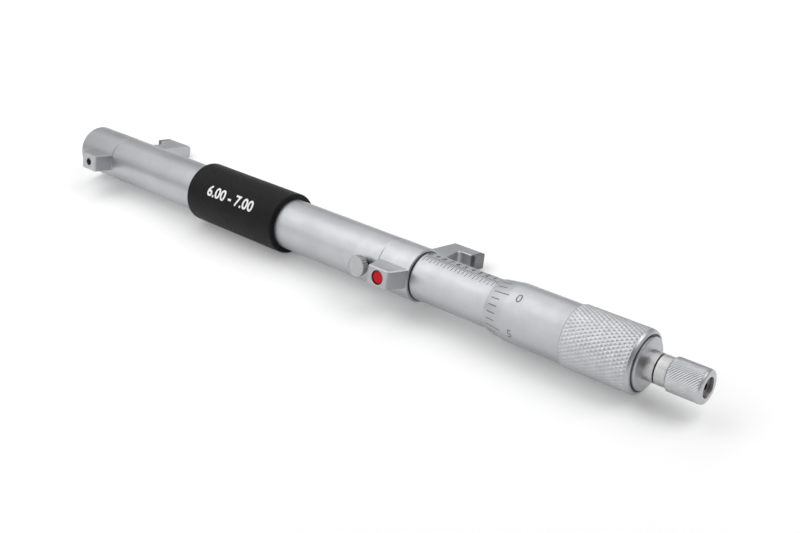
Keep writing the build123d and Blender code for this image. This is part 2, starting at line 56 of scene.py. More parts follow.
to_top = Vector((1, 0, 0)).cross(to_hooks)
seam = Vector((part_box("right_jaw")[0].x, axis_point.y, axis_point.z))
INSTRUMENT = Matrix.Translation(seam) @ Matrix((
    (MM, 0, 0, 0),
    (0, MM * to_hooks.y, MM * to_top.y, 0),
    (0, MM * to_hooks.z, MM * to_top.z, 0),
    (0, 0, 0, 1),
))

# Front of the right jaw's screw boss, from the axis
BOSS_FRONT = 14.2

# Thimble
THIMBLE_LEFT = 38.4
THIMBLE_BORE = 14.6
THIMBLE_LIP = 0.25
BEVEL_LENGTH = 6.0
THIMBLE_DIAMETER = 16.85
KNURL_LEFT = 63.4
KNURL_RIGHT = 82.7
KNURL_DIAMETER = 17.75
KNURL_EDGE = 0.3
KNURL_TEETH = 48
KNURL_PITCH = 2.17
KNURL_DEPTH = 0.2
THIMBLE_END = 84.2
MOUTH_DIAMETER = 15.6
MOUTH_DEPTH = 0.9
CAVITY_END = 80.9
SEAT_DIAMETER = 8.0

# Ratchet knob
KNOB_LEFT = 88.5
KNOB_NECK_DIAMETER = 8.15
KNOB_BAND_LEFT = 91.5
KNOB_RIGHT = 101.4
KNOB_DIAMETER = 9.3
KNOB_CHAMFER = 1.0
KNOB_TEETH = 34
KNOB_PITCH = -0.74
KNOB_KNURL_DEPTH = 0.1
KNOB_BORE = 6.8
KNOB_RECESS = 5.6
KNOB_RECESS_FLOOR = 99.4
KNOB_WALL = 1.8
SCREW_HOLE = 3.0

# Thumb lock screw, drawn along its own axis from the instrument's axis outwards
LOCK_X = -4.6
LOCK_BASE = 9.7
LOCK_FRONT = 12.0
LOCK_DIAMETER = 6.3
LOCK_STEM = 2.4
LOCK_STEM_START = 5.34
LOCK_TEETH = 24
LOCK_KNURL_DEPTH = 0.22
# A pitch so long that the knurl runs straight
STRAIGHT = 1e6

# Ring between the right jaw and the sleeve: a bright bevel, then a seam painted dark as painted
# shade
RING_DIAMETER = 15.7
RING_EDGE = 0.06
RING_BEVEL = 0.16
SEAM_DIAMETER = 14.9
SEAM_END = 0.26

# Marks on the sleeve: an inch in forty divisions that hang from a datum line, with a figure
# at every tenth. They start with 0 at the thimble's left edge and rise to the left.
SLEEVE_RADIUS = 7.15
TRAVEL = 25.4
SLEEVE_DIVISIONS = 40
TENTHS = 10
SCALE_TURN = math.radians(78)
DATUM_WIDTH = 0.08
SLEEVE_MARK_WIDTH = 0.14
SLEEVE_MARK_LENGTHS = {"Short": 1.1, "Middle": 2.35, "Long": 2.7}
SLEEVE_FIGURE_HEIGHT = 1.9
SLEEVE_FIGURE_RISE = 1.25

# Marks on the thimble: 25 divisions on the bevel, with a figure at every fifth on the barrel
THIMBLE_DIVISIONS = 25
THIMBLE_FIGURED = 5
ZERO_TURN = math.radians(48)
THIMBLE_MARK_START = 1.2
THIMBLE_MARK_WIDTH = 0.27
THIMBLE_MARK_LENGTHS = {"Short": 2.85, "Middle": 2.85, "Long": 5.0}
THIMBLE_FIGURE_PLACE = 47.8
THIMBLE_FIGURE_HEIGHT = 2.7

# The measuring range, printed on the grip
GRIP_TEXT = "6.00 - 7.00"
GRIP_FIGURE_HEIGHT = 3.6
GRIP_FIGURE_BOLD = 0.12
GRIP_FIGURE_TURN = math.radians(24)

# Marks and figures are this thick, and half of it stands out of the part
MARK_THICKNESS = 0.03
# A figure's height as a share of the font's size, and the slices that let it bend
FIGURE_SHARE = 0.72
FIGURE_SLICES = 8

# How finely the turned parts are cut: segments to a tooth, or in all, and knurl steps
SEGMENTS_PER_TOOTH = 10
LOCK_SEGMENTS_PER_TOOTH = 8
RING_SEGMENTS = 180
THIMBLE_STEPS_PER_PITCH = 10
KNOB_STEPS_PER_PITCH = 8
END_STEPS = 14
# Corners nearer than this are one
MERGE_DISTANCE = 1e-4
# Faces that meet at a wider angle than this have a sharp edge between them
SMOOTH_ANGLE = math.radians(32)

# The seal darkens between these distances from its middle
SEAL_RIM_START = 1.65
SEAL_RIM_END = 2.05

# Camera, in the instrument's frame
CAMERA_PLACE = Vector((198.744, -247.713, 106.57))
CAMERA_LOOK = Vector((-0.589003, 0.742276, -0.319534))
CAMERA_UP = Vector((-0.29638, 0.169435, 0.939921))
CAMERA_LENS = 51.26
SENSOR_WIDTH = 36.0

# The room's grey, and the floor: its size and grey, and its glow next to the object and far
# out, which rises between the two distances. Here and below, lengths are in metres.
ROOM_GREY = 0.24
FLOOR_SIZE = 30
FLOOR_GREY = 0.88
FLOOR_GLOW = 0.15
FAR_FLOOR_GLOW = 1.0
GLOW_RISE = (0.14, 0.5)

# An arch of soft lamps over the object, each with its place and power
SOFTBOX_SIZE = 0.3
SOFTBOXES = {
    "far_left_back": ((-0.383, 0.182, 0.152), 0.07),
    "left_low_front": ((-0.270, -0.338, 0.123), 0.05),
    "left_front": ((-0.270, -0.231, 0.276), 0.24),
    "left_overhead": ((-0.270, -0.062, 0.354), 0.25),
    "left_high_back": ((-0.270, 0.123, 0.338), 0.08),
    "middle_low_front": ((-0.135, -0.403, 0.147), 0.28),
    "middle_front": ((-0.135, -0.276, 0.329), 0.14),
    "middle_overhead": ((-0.135, -0.074, 0.423), 0.27),
    "middle_high_back": ((-0.135, 0.147, 0.403), 0.25),
    "middle_back": ((-0.135, 0.329, 0.276), 0.24),
    "far_right_high_back": ((0.270, 0.123, 0.338), 0.80),
}


def socket_of(tree, label, kind, side="INPUT"):
    """Adds a named socket to a tree's interface."""
    return tree.interface.new_socket(label, in_out=side, socket_type=kind)


def connect(tree, value, socket):
    """Links an output to a socket, or sets the socket to a plain value."""
    if isinstance(value, bpy.types.NodeSocket):
        tree.links.new(value, socket)
    else:
        socket.default_value = value


def maths(tree, operation, *values):
    """A Math node on these values, and its output."""
    node = tree.nodes.new("ShaderNodeMath")
    node.operation = operation
    for value, socket in zip(values, node.inputs):
        connect(tree, value, socket)
    return node.outputs[0]


def vector_maths(tree, operation, *vectors):
    """A Vector Math node on these vectors, and the plain number that it gives."""
    node = tree.nodes.new("ShaderNodeVectorMath")
    node.operation = operation
    for vector, socket in zip(vectors, node.inputs):
        connect(tree, vector, socket)
    return node.outputs["Value"]


def vector_of(tree, *values):
    """A Combine XYZ node on three values, and its output."""
    node = tree.nodes.new("ShaderNodeCombineXYZ")
    for value, socket in zip(values, node.inputs):
        connect(tree, value, socket)
    return node.outputs[0]


def empty_tree(name, numbers, counts=()):
    """A geometry tree with a geometry and a material input and the named numbers."""
    tree = bpy.data.node_groups.new(name, "GeometryNodeTree")
    socket_of(tree, "Geometry", "NodeSocketGeometry", "OUTPUT")
    socket_of(tree, "Geometry", "NodeSocketGeometry")
    for label in numbers:
        socket_of(tree, label, "NodeSocketFloat")
    for label in counts:
        socket_of(tree, label, "NodeSocketInt")
    socket_of(tree, "Material", "NodeSocketMaterial")
    return tree, tree.nodes.new("NodeGroupInput").outputs


def end_tree(tree, given, geometry):
    """Ends a tree in Realize Instances and Set Material."""
    realize = tree.nodes.new("GeometryNodeRealizeInstances")
    paint = tree.nodes.new("GeometryNodeSetMaterial")
    sink = tree.nodes.new("NodeGroupOutput")
    tree.links.new(geometry, realize.inputs["Geometry"])
    tree.links.new(realize.outputs["Geometry"], paint.inputs["Geometry"])
    tree.links.new(given["Material"], paint.inputs["Material"])
    tree.links.new(paint.outputs["Geometry"], sink.inputs["Geometry"])


def knurl_tree():
    """Cuts two crossed families of helical grooves into a band of a part turned about X.
    A point inside the band keeps its radius unless a groove is deeper there."""
    labels = ("Left", "Right", "Radius", "Depth", "Teeth", "Pitch", "Crossing", "Top")
    tree, given = empty_tree("knurl", labels)
    position = tree.nodes.new("GeometryNodeInputPosition").outputs[0]
    parts = tree.nodes.new("ShaderNodeSeparateXYZ")
    tree.links.new(position, parts.inputs[0])
    along, y, z = parts.outputs
    radius = maths(tree, "SQRT", maths(
        tree, "ADD", maths(tree, "MULTIPLY", y, y), maths(tree, "MULTIPLY", z, z)))
    front = maths(tree, "MULTIPLY", y, -1.0)
    turns = maths(tree, "DIVIDE", maths(tree, "ARCTAN2", z, front), math.tau)
    around = maths(tree, "MULTIPLY", turns, given["Teeth"])
    lead = maths(tree, "DIVIDE", along, given["Pitch"])
    rising = maths(tree, "PINGPONG", maths(tree, "ADD", around, lead), 0.5)
    falling = maths(tree, "PINGPONG", maths(tree, "SUBTRACT", around, lead), 0.5)
    # A falling groove is filled by the share that Crossing lacks to 1
    filled = maths(tree, "SUBTRACT", 0.5, maths(
        tree, "MULTIPLY", given["Crossing"], maths(tree, "SUBTRACT", 0.5, falling)))
    height = maths(tree, "MULTIPLY", maths(tree, "SMOOTH_MIN", rising, filled, 0.06), 2.0)
    rounded = maths(tree, "SMOOTH_MIN", maths(tree, "DIVIDE", height, given["Top"]), 1.0, 0.3)
    groove = maths(tree, "MULTIPLY", given["Depth"], maths(tree, "SUBTRACT", 1.0, rounded))
    wanted = maths(tree, "MINIMUM", radius, maths(tree, "SUBTRACT", given["Radius"], groove))
    skin = maths(tree, "GREATER_THAN", radius, maths(
        tree, "SUBTRACT", given["Radius"], maths(tree, "MULTIPLY", given["Depth"], 1.5)))
    inside = maths(tree, "MULTIPLY", maths(tree, "GREATER_THAN", along, given["Left"]),
                   maths(tree, "LESS_THAN", along, given["Right"]))
    change = maths(tree, "MULTIPLY", maths(tree, "MULTIPLY", skin, inside),
                   maths(tree, "SUBTRACT", wanted, radius))
    scale = maths(tree, "DIVIDE", change, radius)
    offset = vector_of(
        tree, 0.0, maths(tree, "MULTIPLY", y, scale), maths(tree, "MULTIPLY", z, scale))
    move = tree.nodes.new("GeometryNodeSetPosition")
    tree.links.new(given["Geometry"], move.inputs["Geometry"])
    tree.links.new(offset, move.inputs["Offset"])
    end_tree(tree, given, move.outputs["Geometry"])
    return tree


def scale_tree():
    """A flat scale: marks stand along X and hang down (-Y), longer at every few."""
    labels = ("Step", "Short", "Middle", "Long", "Width", "Thickness")
    tree, given = empty_tree("scale", labels, ("Count", "Middle Every", "Long Every"))
    line = tree.nodes.new("GeometryNodeMeshLine")
    tree.links.new(given["Count"], line.inputs["Count"])
    tree.links.new(vector_of(tree, given["Step"], 0.0, 0.0), line.inputs["Offset"])
    block = tree.nodes.new("GeometryNodeMeshCube")
    block.inputs["Size"].default_value = (1, 1, 1)
    # Cut across, so that a mark can bend round a part
    block.inputs["Vertices Y"].default_value = 9
    hang = tree.nodes.new("GeometryNodeTransform")
    hang.inputs["Translation"].default_value = (0, -0.5, 0)
    tree.links.new(block.outputs["Mesh"], hang.inputs["Geometry"])
    index = tree.nodes.new("GeometryNodeInputIndex").outputs[0]

    def every(label):
        return maths(tree, "LESS_THAN", maths(tree, "MODULO", index, given[label]), 0.5)

    def longer(length, label, every_label):
        more = maths(tree, "SUBTRACT", given[label], length)
        return maths(tree, "ADD", length, maths(tree, "MULTIPLY", more, every(every_label)))

    length = longer(longer(given["Short"], "Middle", "Middle Every"), "Long", "Long Every")
    place = tree.nodes.new("GeometryNodeInstanceOnPoints")
    tree.links.new(line.outputs["Mesh"], place.inputs["Points"])
    tree.links.new(hang.outputs["Geometry"], place.inputs["Instance"])
    size = vector_of(tree, given["Width"], length, given["Thickness"])
    tree.links.new(size, place.inputs["Scale"])
    end_tree(tree, given, place.outputs["Instances"])
    return tree


def grown(mesh, tree, values):
    """The plain mesh that a tree makes of this one, with the tree's named inputs set."""
    carrier = bpy.data.objects.new("carrier", mesh)
    bpy.context.scene.collection.objects.link(carrier)
    modifier = carrier.modifiers.new("tree", "NODES")
    modifier.node_group = tree
    for item in tree.interface.items_tree:
        if item.in_out == "INPUT" and item.name in values:
            modifier[item.identifier] = values[item.name]
    depsgraph = bpy.context.evaluated_depsgraph_get()
    made = bpy.data.meshes.new_from_object(carrier.evaluated_get(depsgraph))
    bpy.data.objects.remove(carrier)
    return made


def softened(corners, steps=4):
    """An outline through (place, radius, round) corners, each rounded by its own radius."""
    outline = []
    count = len(corners)
    for number, (place, radius, size) in enumerate(corners):
        corner = Vector((place, radius))
        before = Vector(corners[number - 1][:2]) - corner
        after = Vector(corners[(number + 1) % count][:2]) - corner
        if size == 0:
            outline.append(corner)
            continue
        half_turn = before.angle(after) / 2
        reach = min(size / math.tan(half_turn), before.length * 0.48, after.length * 0.48)
        start = corner + before.normalized() * reach
        end = corner + after.normalized() * reach
        for step in range(steps + 1):
            share = step / steps
            outline.append(
                start * (1 - share) ** 2 + corner * 2 * share * (1 - share) + end * share**2)
    return outline


def spread(left, right, radius, step):
    """Corners at equal steps along a straight stretch, so that it can be knurled."""
    count = round((right - left) / step)
    return [(left + (right - left) * number / count, radius, 0) for number in range(count + 1)]


def turned(outline, segments):
    """A closed solid turned about X from a closed outline of (place, radius) points."""
    bm = bmesh.new()
    rings = []
    for segment in range(segments):
        angle = math.tau * segment / segments
        rings.append([
            bm.verts.new((place, -radius * math.cos(angle), radius * math.sin(angle)))
            for place, radius in outline
        ])
    for segment, ring in enumerate(rings):
        following = rings[(segment + 1) % segments]
        for number in range(len(outline)):
            after = (number + 1) % len(outline)
            bm.faces.new((ring[number], ring[after], following[after], following[number]))
    bmesh.ops.remove_doubles(bm, verts=bm.verts, dist=MERGE_DISTANCE)
    bmesh.ops.recalc_face_normals(bm, faces=bm.faces)
    mesh = bpy.data.meshes.new("turned")
    bm.to_mesh(mesh)
    bm.free()
    return mesh


def wrapped(mesh, place, turn, radius, slope=0.0):
    """Bends a flat mesh onto a cylinder or cone: x along the axis, y round it, z outwards."""
    for vertex in mesh.vertices:
        across, around, out = vertex.co
        reach = radius + slope * across + out
        angle = turn + around / radius
        vertex.co = (place + across, -reach * math.cos(angle), reach * math.sin(angle))
    return mesh


def add_piece(name, mesh, body, finishes, replaced=()):
    """Lays a mesh drawn in the instrument's millimetres in place, on its body.
    A face has the finish that its material index counts to."""
    mesh.name = name
    mesh.transform(INSTRUMENT)
    indices = [face.material_index for face in mesh.polygons]
    mesh.materials.clear()
    for finish in finishes:
        mesh.materials.append(FINISHES[finish])
    mesh.polygons.foreach_set("material_index", indices)
    mesh.shade_smooth()
    mesh.set_sharp_from_angle(angle=SMOOTH_ANGLE)
    piece = bpy.data.objects.new(name, mesh)
    bpy.context.scene.collection.objects.link(piece)
    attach(piece, body)
    if replaced:
        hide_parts(*replaced)


def joined(meshes):
    """One mesh of several."""
    bm = bmesh.new()
    for mesh in meshes:
        bm.from_mesh(mesh)
    whole = bpy.data.meshes.new("joined")
    bm.to_mesh(whole)
    bm.free()
    return whole


def figures(text, height, bold=0.0):
    """Flat figures, centred, as a mesh fine enough to bend round a part."""
    curve = bpy.data.curves.new("figures", "FONT")
    curve.body = text
    curve.align_x = "CENTER"
    curve.align_y = "CENTER"
    curve.size = height / FIGURE_SHARE
    curve.extrude = MARK_THICKNESS / 2
    curve.offset = bold
    curve.resolution_u = 3
    carrier = bpy.data.objects.new("figures", curve)
    bpy.context.scene.collection.objects.link(carrier)
    depsgraph = bpy.context.evaluated_depsgraph_get()
    flat = bpy.data.meshes.new_from_object(carrier.evaluated_get(depsgraph))
    bpy.data.objects.remove(carrier)
    bm = bmesh.new()
    bm.from_mesh(flat)
    for number in range(1, FIGURE_SLICES):
        level = Vector((0, (number / FIGURE_SLICES - 0.5) * height, 0))
        geometry = bm.verts[:] + bm.edges[:] + bm.faces[:]
        bmesh.ops.bisect_plane(bm, geom=geometry, plane_co=level, plane_no=(0, 1, 0))
    bmesh.ops.remove_doubles(bm, verts=bm.verts, dist=MERGE_DISTANCE)
    bm.to_mesh(flat)
    bm.free()
    return flat


class Shading:
    """A material's nodes: a Principled shader and the patterns that feed it."""

    # Nearly all of a noise lies between these
    NOISE_SPREAD = (0.3, 0.7)

    def __init__(self, name, colour, metallic, roughness):
        self.material = bpy.data.materials.new(name)
        self.material.use_nodes = True
        self.nodes = self.material.node_tree.nodes
        self.links = self.material.node_tree.links
        self.shader = self.nodes["Principled BSDF"]
        self.shader.inputs["Base Color"].default_value = (*colour, 1)
        self.shader.inputs["Metallic"].default_value = metallic
        self.shader.inputs["Roughness"].default_value = roughness
        self.place = self.nodes.new("ShaderNodeTexCoord").outputs["Object"]

    def noise(self, scale, stretch=(1, 1, 1), detail=3.0, roughness=0.5):
        """Noise with so many grains to the metre, drawn out along the axes."""
        mapping = self.nodes.new("ShaderNodeMapping")
        mapping.inputs["Scale"].default_value = [scale * share for share in stretch]
        self.links.new(self.place, mapping.inputs["Vector"])
        noise = self.nodes.new("ShaderNodeTexNoise")
        noise.inputs["Scale"].default_value = 1.0
        noise.inputs["Detail"].default_value = detail
        noise.inputs["Roughness"].default_value = roughness
        self.links.new(mapping.outputs["Vector"], noise.inputs["Vector"])
        return noise.outputs["Fac"]

    def ranged(self, value, start, end, low, high, interpolation="LINEAR"):
        """Maps a value between start and end to low to high, and holds it beyond them."""
        node = self.nodes.new("ShaderNodeMapRange")
        node.interpolation_type = interpolation
        node.inputs["From Min"].default_value = start
        node.inputs["From Max"].default_value = end
        node.inputs["To Min"].default_value = low
        node.inputs["To Max"].default_value = high
        self.links.new(value, node.inputs["Value"])
        return node.outputs["Result"]

    def span(self, value, low, high):
        """Maps noise from its usual spread to the range low to high."""
        return self.ranged(value, *self.NOISE_SPREAD, low, high)

    def colours(self, value, dark, light):
        """Runs the base colour from dark to light over the usual spread of noise."""
        ramp = self.nodes.new("ShaderNodeValToRGB")
        ends = zip(ramp.color_ramp.elements, self.NOISE_SPREAD, (dark, light))
        for element, position, colour in ends:
            element.position = position
            element.color = (*colour, 1)
        self.links.new(value, ramp.inputs["Fac"])
        self.links.new(ramp.outputs["Color"], self.shader.inputs["Base Color"])

    def roughness(self, value, low, high):
        """Runs the roughness from low to high with a pattern."""
        self.links.new(self.span(value, low, high), self.shader.inputs["Roughness"])

    def bump(self, value, height):
        """Raises the surface by up to height, in metres, with a pattern."""
        node = self.nodes.new("ShaderNodeBump")
        node.inputs["Strength"].default_value = 1.0
        node.inputs["Distance"].default_value = height
        self.links.new(value, node.inputs["Height"])
        self.links.new(node.outputs["Normal"], self.shader.inputs["Normal"])

    def constant(self, **values):
        """Sets plain values on the shader's own sockets."""
        for label, value in values.items():
            self.shader.inputs[label.replace("_", " ")].default_value = value


def satin_steel():
    """Satin chrome plate: an even, fine blasted grain with faint clouds."""
    look = Shading("satin_steel", (0.475, 0.485, 0.5), 1.0, 0.42)
    clouds = look.noise(60, detail=9, roughness=0.62)
    look.colours(clouds, (0.44, 0.45, 0.465), (0.51, 0.52, 0.535))
    look.roughness(look.noise(300), 0.38, 0.46)
    look.bump(look.noise(9000, detail=2), 0.000012)
    return look.material


def jaw_steel():
    """The plate on the right jaw, with painted shade that darkens the front face of its screw
    boss.
    """
    look = Shading("jaw_steel", (0.475, 0.485, 0.5), 1.0, 0.42)
    tree = look.material.node_tree
    front = vector_maths(tree, "DOT_PRODUCT", look.place, -to_hooks)
    boss_front = -axis_point.dot(to_hooks) + BOSS_FRONT * MM
    # Painted shade: the boss's front face is darkened in colour.
    ground = look.ranged(front, boss_front - 0.3 * MM, boss_front - 0.1 * MM, 0.0, -0.2)
    clouds = look.span(look.noise(60, detail=9, roughness=0.62), 0.35, 0.45)
    tone = maths(tree, "ADD", clouds, ground)
    look.colours(tone, (0.4, 0.41, 0.425), (0.72, 0.73, 0.745))
    look.roughness(look.noise(300), 0.38, 0.46)
    look.bump(look.noise(9000, detail=2), 0.000012)
    return look.material


def turned_steel():
    """Finely turned plate, on the lock screw's head and the bevel of the seam ring."""
    look = Shading("turned_steel", (0.43, 0.435, 0.445), 1.0, 0.4)
    look.colours(look.noise(500, detail=4), (0.4, 0.405, 0.415), (0.46, 0.465, 0.475))
    look.roughness(look.noise(500), 0.36, 0.44)
    look.bump(look.noise(9000, detail=2), 0.000008)
    return look.material


def knurled_steel():
    """The same plate on a knurl, a little paler, as painted light that brightens the knurl."""
    look = Shading("knurled_steel", (0.52, 0.53, 0.545), 1.0, 0.4)
    look.colours(look.noise(400, detail=4), (0.48, 0.49, 0.505), (0.56, 0.57, 0.585))
    look.roughness(look.noise(500), 0.38, 0.46)
    look.bump(look.noise(9000, detail=2), 0.000008)
    return look.material


def bare_steel():
    """Turned and ground steel, with fine marks that run round the axis."""
    look = Shading("bare_steel", (0.62, 0.63, 0.64), 1.0, 0.22)
    rings = look.noise(9000, stretch=(1, 0.01, 0.01), detail=2)
    look.colours(rings, (0.56, 0.565, 0.575), (0.68, 0.685, 0.69))
    look.roughness(look.noise(500, stretch=(1, 0.2, 0.2)), 0.16, 0.28)
    look.bump(rings, 0.000006)
    return look.material


def polished_steel():
    """Bright turned steel on the ratchet's neck, with faint marks round the axis."""
    look = Shading("polished_steel", (0.5, 0.495, 0.5), 1.0, 0.36)
    rings = look.noise(6000, stretch=(1, 0.01, 0.01), detail=2)
    look.colours(rings, (0.46, 0.455, 0.46), (0.54, 0.535, 0.54))
    look.roughness(look.noise(900), 0.32, 0.4)
    look.bump(rings, 0.000003)
    return look.material


def hard_metal():
    """Lapped hard metal, darker and closer than the plate; part of its darkness is painted shade
    inside the hooks.
    """
    look = Shading("hard_metal", (0.17, 0.175, 0.18), 1.0, 0.34)
    look.colours(look.noise(2500), (0.14, 0.145, 0.15), (0.21, 0.215, 0.22))
    look.roughness(look.noise(3000), 0.28, 0.4)
    look.bump(look.noise(12000), 0.000006)
    return look.material


def black_grip():
    """Matte moulded plastic with a fine grain."""
    look = Shading("black_grip", (0.007, 0.007, 0.008), 0.0, 0.5)
    look.colours(look.noise(200), (0.006, 0.006, 0.007), (0.009, 0.009, 0.010))
    look.roughness(look.noise(900), 0.44, 0.56)
    look.bump(look.noise(7000, detail=3), 0.00002)
    look.constant(Specular_IOR_Level=0.14)
    return look.material


def dark_ring():
    """Blue-black rings, painted shade in the narrow gaps and grooves between parts."""
    look = Shading("dark_ring", (0.02, 0.02, 0.03), 0.0, 0.4)
    look.colours(look.noise(800), (0.012, 0.012, 0.02), (0.028, 0.028, 0.045))
    look.roughness(look.noise(900), 0.34, 0.46)
    return look.material


def blackened_steel():
    """Dark brown oxide on the small screws. On the lock screw's stem the same dark is painted
    shade in the hole under its head.
    """
    look = Shading("blackened_steel", (0.09, 0.07, 0.06), 0.8, 0.4)
    look.colours(look.noise(1500), (0.06, 0.05, 0.045), (0.15, 0.12, 0.1))
    look.roughness(look.noise(2000), 0.32, 0.48)
    look.bump(look.noise(6000), 0.00001)
    return look.material


def red_lacquer():
    """Thick sealing lacquer, a little uneven and darker towards its rim."""
    look = Shading("red_lacquer", (0.62, 0.002, 0.008), 0.0, 0.3)
    low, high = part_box("red_seal")
    centred = look.nodes.new("ShaderNodeMapping")
    centred.inputs["Location"].default_value = -(low + high) / 2
    look.links.new(look.place, centred.inputs["Vector"])
    tree = look.material.node_tree
    reach = vector_maths(tree, "LENGTH", centred.outputs["Vector"])
    rim = look.ranged(reach, SEAL_RIM_START * MM, SEAL_RIM_END * MM, 0.7, 0.3)
    clouds = look.span(look.noise(700), -0.12, 0.12)
    tone = maths(tree, "ADD", rim, clouds)
    look.colours(tone, (0.12, 0.001, 0.003), (0.66, 0.002, 0.009))
    look.roughness(look.noise(900), 0.24, 0.36)
    look.bump(look.noise(900, detail=1), 0.00004)
    look.constant(Coat_Weight=0.08, Coat_Roughness=0.12, Specular_IOR_Level=0.1)
    return look.material


def brass():
    """Turned brass."""
    look = Shading("brass", (0.78, 0.58, 0.28), 1.0, 0.3)
    look.colours(look.noise(900), (0.7, 0.5, 0.22), (0.84, 0.64, 0.33))
    look.roughness(look.noise(900), 0.24, 0.36)
    return look.material


def black_fill():
    """The black in the engraved marks and figures."""
    look = Shading("black_fill", (0.015, 0.015, 0.018), 0.0, 0.6)
    look.colours(look.noise(2500), (0.01, 0.01, 0.012), (0.025, 0.025, 0.028))
    look.roughness(look.noise(2500), 0.5, 0.7)
    look.constant(Specular_IOR_Level=0.1)
    return look.material


def grey_fill():
    """The thinner, paler filling of the thimble's figures."""
    look = Shading("grey_fill", (0.2, 0.2, 0.205), 0.0, 0.6)
    look.colours(look.noise(2500), (0.16, 0.16, 0.165), (0.24, 0.24, 0.245))
    look.roughness(look.noise(2500), 0.5, 0.7)
    look.constant(Specular_IOR_Level=0.1)
    return look.material


def white_print():
    """White printed figures on the grip."""
    look = Shading("white_print", (0.85, 0.85, 0.85), 0.0, 0.5)
    look.colours(look.noise(3000), (0.8, 0.8, 0.8), (0.88, 0.88, 0.88))
    look.roughness(look.noise(2000), 0.45, 0.6)
    return look.material


FINISHES = {
    "satin_steel": satin_steel(),
    "jaw_steel": jaw_steel(),
    "turned_steel": turned_steel(),
    "knurled_steel": knurled_steel(),
    "bare_steel": bare_steel(),
    "polished_steel": polished_steel(),
    "hard_metal": hard_metal(),
    "black_grip": black_grip(),
    "dark_ring": dark_ring(),
    "blackened_steel": blackened_steel(),
    "red_lacquer": red_lacquer(),
    "brass": brass(),
    "black_fill": black_fill(),
    "grey_fill": grey_fill(),
    "white_print": white_print(),
}

NODE_FINISHES = {
    "satin_steel": (
        "frame_tube", "left_jaw", "graduated_sleeve", "thimble", "thimble_cap", "ratchet_knob",
        "lock_screw",
    ),
    "jaw_steel": ("right_jaw",),
    "polished_steel": ("ratchet_base",),
    "bare_steel": (
        "guide_key", "spindle_nut", "adjusting_nut", "slide_rod", "thrust_ball",
        "swivel_retainer", "thrust_collar", "spindle", "ratchet_pawl", "ratchet_spring",
        "right_jaw_screw",
    ),
    "hard_metal": ("right_contact_tip", "left_contact_tip"),
    "black_grip": ("grip_band",),
    "dark_ring": ("sleeve_ring", "cap_ring", "neck_ring"),
    "blackened_steel": ("ratchet_screw", "left_jaw_screw"),
    "red_lacquer": ("red_seal",),
    "brass": ("lock_pad", "front_bush", "guide_barrel"),
}
for finish_name, node_names in NODE_FINISHES.items():
    for node_name in node_names:
        node = frame["nodes"][node_name]
        node.data.materials.clear()
        node.data.materials.append(FINISHES[finish_name])

KNURL_TREE = knurl_tree()
SCALE_TREE = scale_tree()


def make_thimble():
    """Bevelled front, plain barrel, diamond knurl and a rounded end with a mouth."""
    bore = THIMBLE_BORE / 2
    barrel = THIMBLE_DIAMETER / 2
    band = KNURL_DIAMETER / 2
    mouth = MOUTH_DIAMETER / 2
    mouth_floor = THIMBLE_END - MOUTH_DEPTH
    corners = [
        (THIMBLE_LEFT, bore, 0.05), (THIMBLE_LEFT, bore + THIMBLE_LIP, 0.08),
        (THIMBLE_LEFT + BEVEL_LENGTH, barrel, 1.5),
        (KNURL_LEFT, barrel, 0), (KNURL_LEFT, band - KNURL_EDGE, 0.05),
    ]
    step_length = KNURL_PITCH / THIMBLE_STEPS_PER_PITCH
    corners += spread(KNURL_LEFT + KNURL_EDGE, KNURL_RIGHT, band, step_length)
    for step in range(1, END_STEPS + 1):
        angle = math.pi / 2 * step / END_STEPS
        corners.append((
            KNURL_RIGHT + (THIMBLE_END - KNURL_RIGHT) * math.sin(angle),
            mouth + (band - mouth) * math.cos(angle), 0,
        ))
    corners += [
        (mouth_floor, mouth, 0), (mouth_floor, SEAT_DIAMETER / 2, 0),
        (CAVITY_END, SEAT_DIAMETER / 2, 0), (CAVITY_END, bore, 0),
    ]
    body = turned(softened(corners), KNURL_TEETH * SEGMENTS_PER_TOOTH)
    values = {
        "Left": KNURL_LEFT - 0.01, "Right": KNURL_RIGHT + 0.6, "Radius": band,
        "Depth": KNURL_DEPTH, "Teeth": float(KNURL_TEETH), "Pitch": KNURL_PITCH,
        "Crossing": 1.0, "Top": 0.8, "Material": FINISHES["knurled_steel"],
    }
    body = grown(body, KNURL_TREE, values)
    for face in body.polygons:
        if KNURL_LEFT < face.center.x < KNURL_RIGHT:
            face.material_index = 1
    add_piece("thimble_body", body, "thimble",
              ["satin_steel", "knurled_steel"], ["thimble"])


